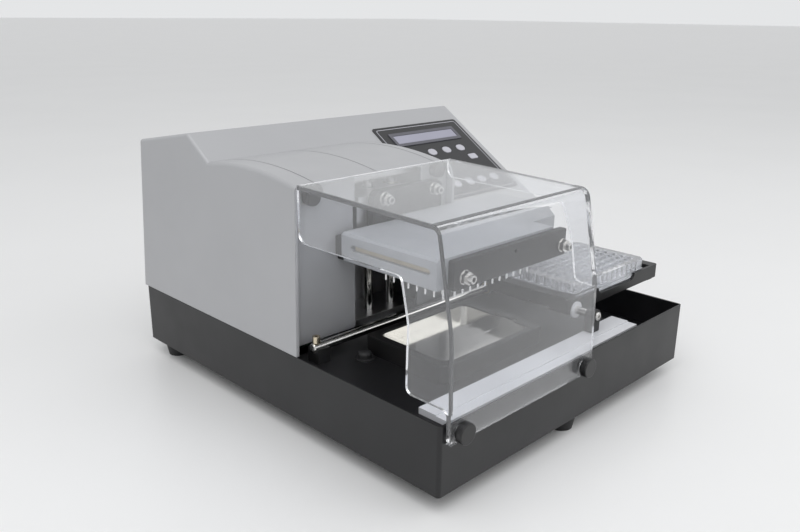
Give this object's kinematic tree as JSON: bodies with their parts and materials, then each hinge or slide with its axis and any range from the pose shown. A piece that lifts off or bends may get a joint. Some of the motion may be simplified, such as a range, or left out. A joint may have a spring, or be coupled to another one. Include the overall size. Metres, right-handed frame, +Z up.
{
  "type": "microplate washer",
  "caption": "Benchtop 96-well microplate washer: black tray base, silver housing with a sloped keypad, clear splash shield, lifting 96-tube manifold and sliding plate carrier.",
  "frame": {"origin": "middle of the front foot's sole, on the centre line of the base", "axes": "+X to the machine's right, +Y to its back, +Z up"},
  "size_m": [0.371, 0.4326, 0.231],
  "materials": {
    "black_paint": "satin",
    "silver_paint": "satin",
    "silver_plastic": "satin",
    "black_plastic": "satin",
    "grey_plastic": "satin",
    "white_plastic": "satin",
    "board_plastic": "satin",
    "clear_plastic": "clear",
    "glass": "gloss",
    "rubber": "matte",
    "steel": "polished",
    "brass": "satin",
    "aluminium": "satin",
    "cast_alloy": "painted"
  },
  "bodies": {
    "base": {"base_pan": "black_paint", "deck_plate": "black_paint", "wear_strip": "white_plastic", "rubber_feet": "rubber", "foot_screws": "steel", "prime_trough": "black_plastic", "trough_liner": "steel", "deck_plug": "rubber", "guide_rod": "steel", "rod_brackets": "black_plastic", "rod_screws": "steel", "housing_shell": "silver_plastic", "front_panel": "silver_plastic", "bumpers": "rubber", "keypad_overlay": "black_plastic", "display_bezel": "grey_plastic", "display_window": "glass", "rear_panel": "silver_paint", "power_inlet": "black_plastic", "switch_frame": "black_plastic", "serial_port": "steel", "hose_barbs": "white_plastic", "lift_column": "aluminium", "lift_shafts": "steel", "lift_motor": "black_paint", "power_supply": "aluminium", "circuit_board": "board_plastic"},
    "manifold": {"lift_carriage": "aluminium", "lift_bushings": "brass", "lift_nut": "brass", "manifold_saddle": "black_plastic", "line_fittings": "steel", "manifold_body": "cast_alloy", "slot_bar": "white_plastic", "manifold_front_plate": "black_plastic", "manifold_bolts": "steel", "tube_plate": "steel"},
    "lead_screw": {"lead_screw": "steel"},
    "carrier": {"plate_carrier": "black_plastic", "carrier_bushings": "brass", "outrigger_washer": "white_plastic", "outrigger_pin": "steel", "slide_shoe": "black_plastic", "shoe_screw": "steel"},
    "microplate": {"microplate": "clear_plastic"},
    "shield": {"splash_shield": "clear_plastic"},
    "knob_left": {"shield_knob_left": "black_plastic"},
    "knob_right": {"shield_knob_right": "black_plastic"},
    "rocker": {"switch_rocker": "black_plastic"},
    "soft_key_1": {"soft_key_1": "grey_plastic"},
    "soft_key_2": {"soft_key_2": "grey_plastic"},
    "soft_key_3": {"soft_key_3": "grey_plastic"},
    "soft_key_4": {"soft_key_4": "grey_plastic"},
    "menu_key_1": {"menu_key_1": "grey_plastic"},
    "menu_key_2": {"menu_key_2": "grey_plastic"},
    "entry_key_1": {"entry_key_1": "grey_plastic"},
    "entry_key_2": {"entry_key_2": "grey_plastic"},
    "entry_key_3": {"entry_key_3": "grey_plastic"},
    "entry_key_4": {"entry_key_4": "grey_plastic"},
    "entry_key_5": {"entry_key_5": "grey_plastic"}
  },
  "joints": [
    {"name": "carrier_slide", "type": "slide", "parent": "base", "child": "carrier", "axis": [-1, 0, 0], "range_m": [0, 0.175]},
    {"name": "plate_lift_out", "type": "slide", "parent": "carrier", "child": "microplate", "axis": [0, 0, 1], "range_m": [0, 0.02]},
    {"name": "manifold_lift", "type": "slide", "parent": "base", "child": "manifold", "axis": [0, 0, 1], "range_m": [-0.049, 0]},
    {"name": "lead_screw_turn", "type": "hinge", "parent": "base", "child": "lead_screw", "pos_m": [-0.063, 0.172, 0.075], "axis": [0, 0, 1], "range_deg": [-2206, 1]},
    {"name": "shield_lift_off", "type": "slide", "parent": "base", "child": "shield", "axis": [0, 0, 1], "range_m": [0, 0.06]},
    {"name": "knob_left_turn", "type": "hinge", "parent": "base", "child": "knob_left", "pos_m": [-0.155, -0.016, 0.0635], "axis": [0, -1, 0], "continuous": true},
    {"name": "knob_right_turn", "type": "hinge", "parent": "base", "child": "knob_right", "pos_m": [-0.005, -0.016, 0.0635], "axis": [0, -1, 0], "continuous": true},
    {"name": "power_rocker", "type": "hinge", "parent": "base", "child": "rocker", "pos_m": [0.098, 0.37984, 0.15845], "axis": [1, 0, 0], "range_deg": [0, 16]},
    {"name": "soft_key_1_press", "type": "slide", "parent": "base", "child": "soft_key_1", "axis": [0, 0.5519, -0.8339], "range_m": [0, 0.0005], "stiffness_N_per_m": 400},
    {"name": "soft_key_2_press", "type": "slide", "parent": "base", "child": "soft_key_2", "axis": [0, 0.5519, -0.8339], "range_m": [0, 0.0005], "stiffness_N_per_m": 400},
    {"name": "soft_key_3_press", "type": "slide", "parent": "base", "child": "soft_key_3", "axis": [0, 0.5519, -0.8339], "range_m": [0, 0.0005], "stiffness_N_per_m": 400},
    {"name": "soft_key_4_press", "type": "slide", "parent": "base", "child": "soft_key_4", "axis": [0, 0.5519, -0.8339], "range_m": [0, 0.0005], "stiffness_N_per_m": 400},
    {"name": "menu_key_1_press", "type": "slide", "parent": "base", "child": "menu_key_1", "axis": [0, 0.5519, -0.8339], "range_m": [0, 0.0005], "stiffness_N_per_m": 400},
    {"name": "menu_key_2_press", "type": "slide", "parent": "base", "child": "menu_key_2", "axis": [0, 0.5519, -0.8339], "range_m": [0, 0.0005], "stiffness_N_per_m": 400},
    {"name": "entry_key_1_press", "type": "slide", "parent": "base", "child": "entry_key_1", "axis": [0, 0.5519, -0.8339], "range_m": [0, 0.0005], "stiffness_N_per_m": 400},
    {"name": "entry_key_2_press", "type": "slide", "parent": "base", "child": "entry_key_2", "axis": [0, 0.5519, -0.8339], "range_m": [0, 0.0005], "stiffness_N_per_m": 400},
    {"name": "entry_key_3_press", "type": "slide", "parent": "base", "child": "entry_key_3", "axis": [0, 0.5519, -0.8339], "range_m": [0, 0.0005], "stiffness_N_per_m": 400},
    {"name": "entry_key_4_press", "type": "slide", "parent": "base", "child": "entry_key_4", "axis": [0, 0.5519, -0.8339], "range_m": [0, 0.0005], "stiffness_N_per_m": 400},
    {"name": "entry_key_5_press", "type": "slide", "parent": "base", "child": "entry_key_5", "axis": [0, 0.5519, -0.8339], "range_m": [0, 0.0005], "stiffness_N_per_m": 400}
  ],
  "couplings": [
    {"joint": "lead_screw_turn", "follows": "manifold_lift", "rad_per_m": 785.4}
  ]
}
